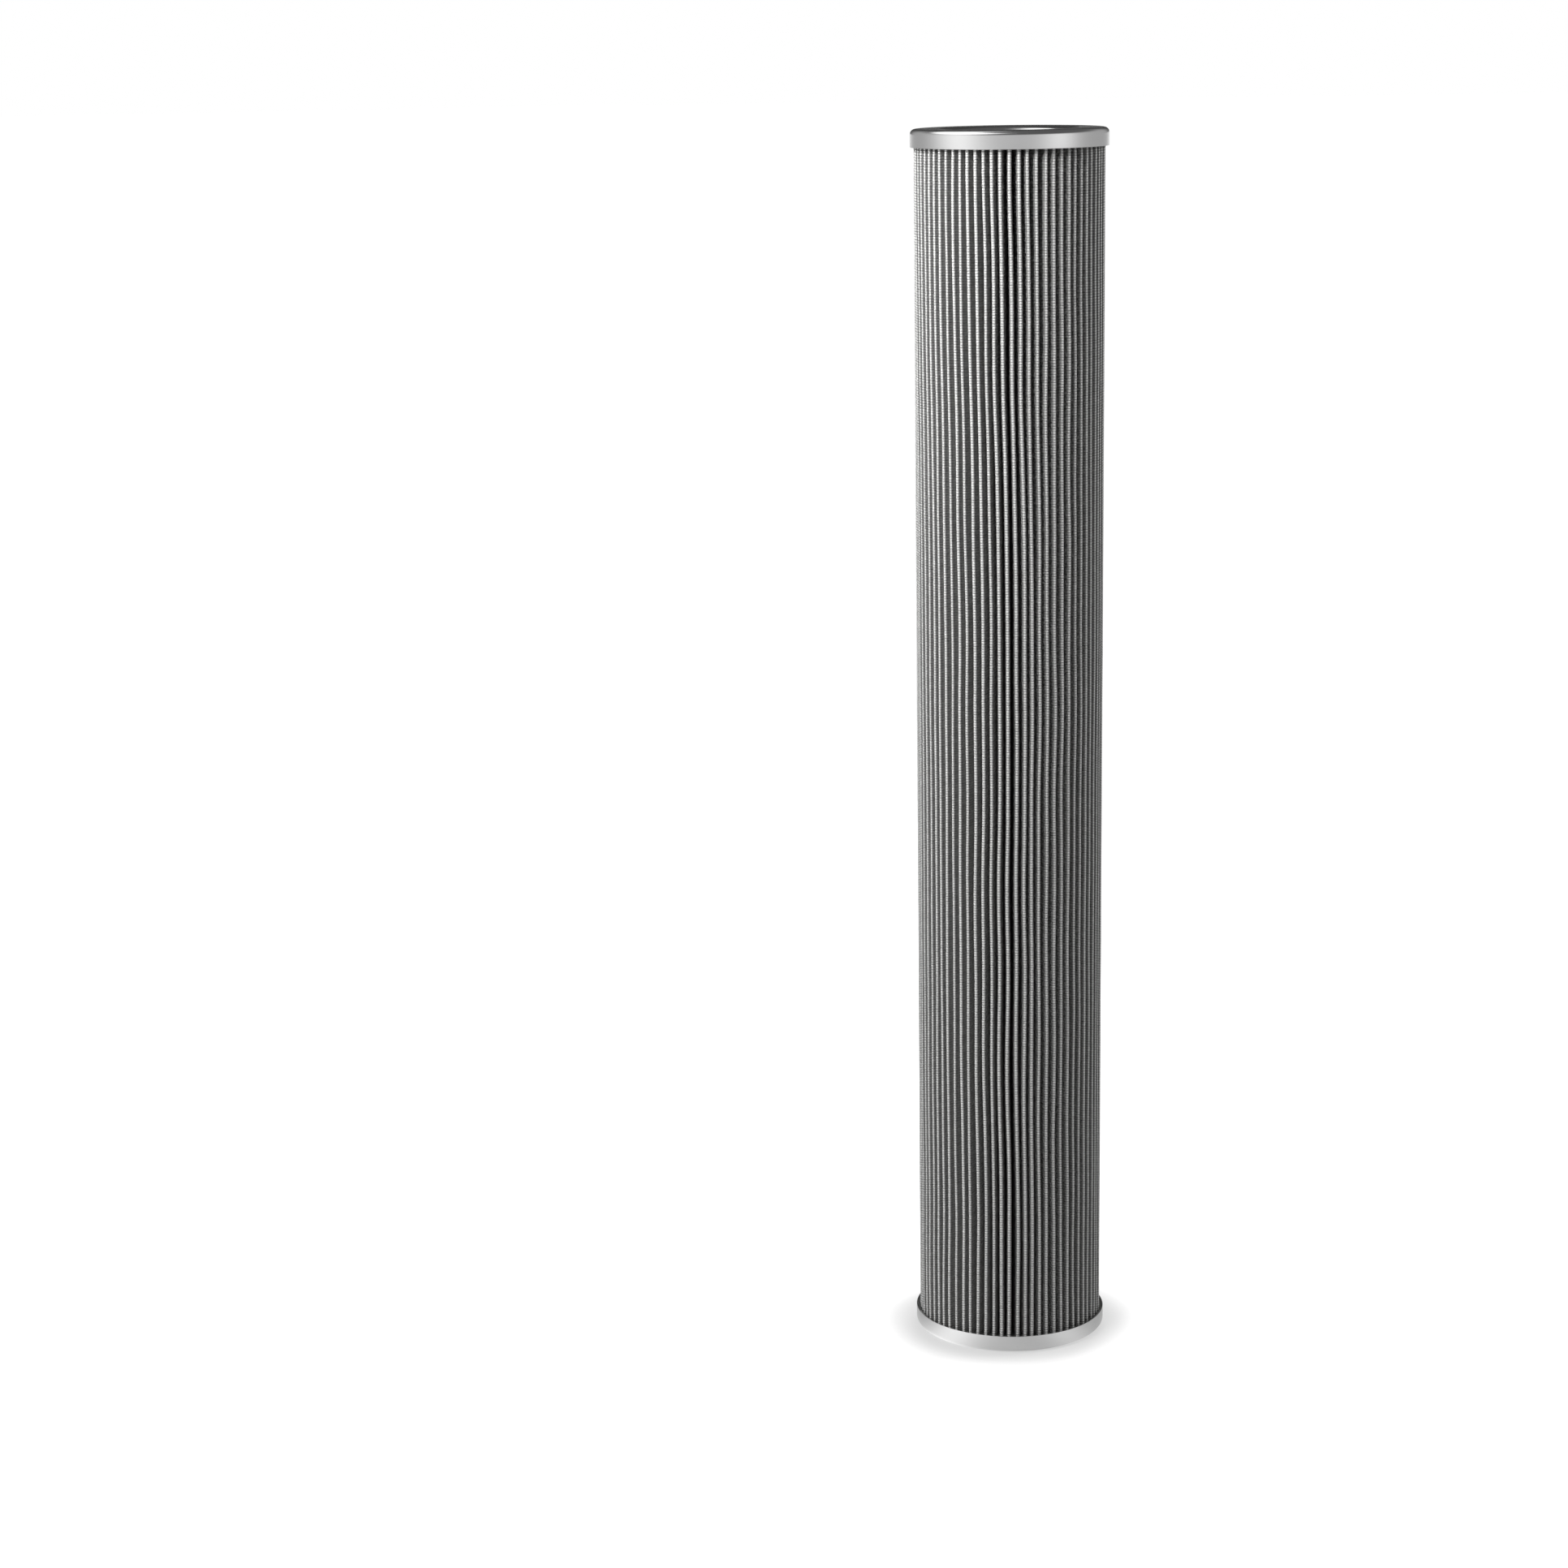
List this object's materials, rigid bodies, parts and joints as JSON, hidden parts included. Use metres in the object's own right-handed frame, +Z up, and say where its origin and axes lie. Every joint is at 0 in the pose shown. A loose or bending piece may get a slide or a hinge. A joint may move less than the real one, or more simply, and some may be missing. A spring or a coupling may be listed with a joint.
{
  "type": "pleated filter element",
  "caption": "Long cylindrical pleated filter element: wire mesh pleats around a perforated core tube, pressed steel end caps, and a sealed bore at each end.",
  "frame": {"origin": "centre of the lower end face, on the element's axis", "axes": "+Z up along the element's axis, towards the upper end cap; +Y towards the side seam at the back"},
  "size_m": [0.1, 0.1, 0.632],
  "materials": {
    "end_cap_steel": "satin",
    "retainer_steel": "satin",
    "seal_rubber": "satin",
    "potting_compound": "matte",
    "core_black": "satin",
    "wire_mesh": "satin",
    "media_fibre": "matte"
  },
  "bodies": {
    "root": {"upper_end_cap": "end_cap_steel", "lower_end_cap": "end_cap_steel", "upper_seal_retainer": "retainer_steel", "lower_seal_retainer": "retainer_steel", "upper_seal_ring": "seal_rubber", "lower_seal_ring": "seal_rubber", "upper_potting": "potting_compound", "lower_potting": "potting_compound", "core_tube": "core_black", "outer_support_mesh": "wire_mesh", "filter_media": "media_fibre", "inner_support_mesh": "wire_mesh", "side_seam_sealant": "potting_compound"}
  },
  "joints": []
}
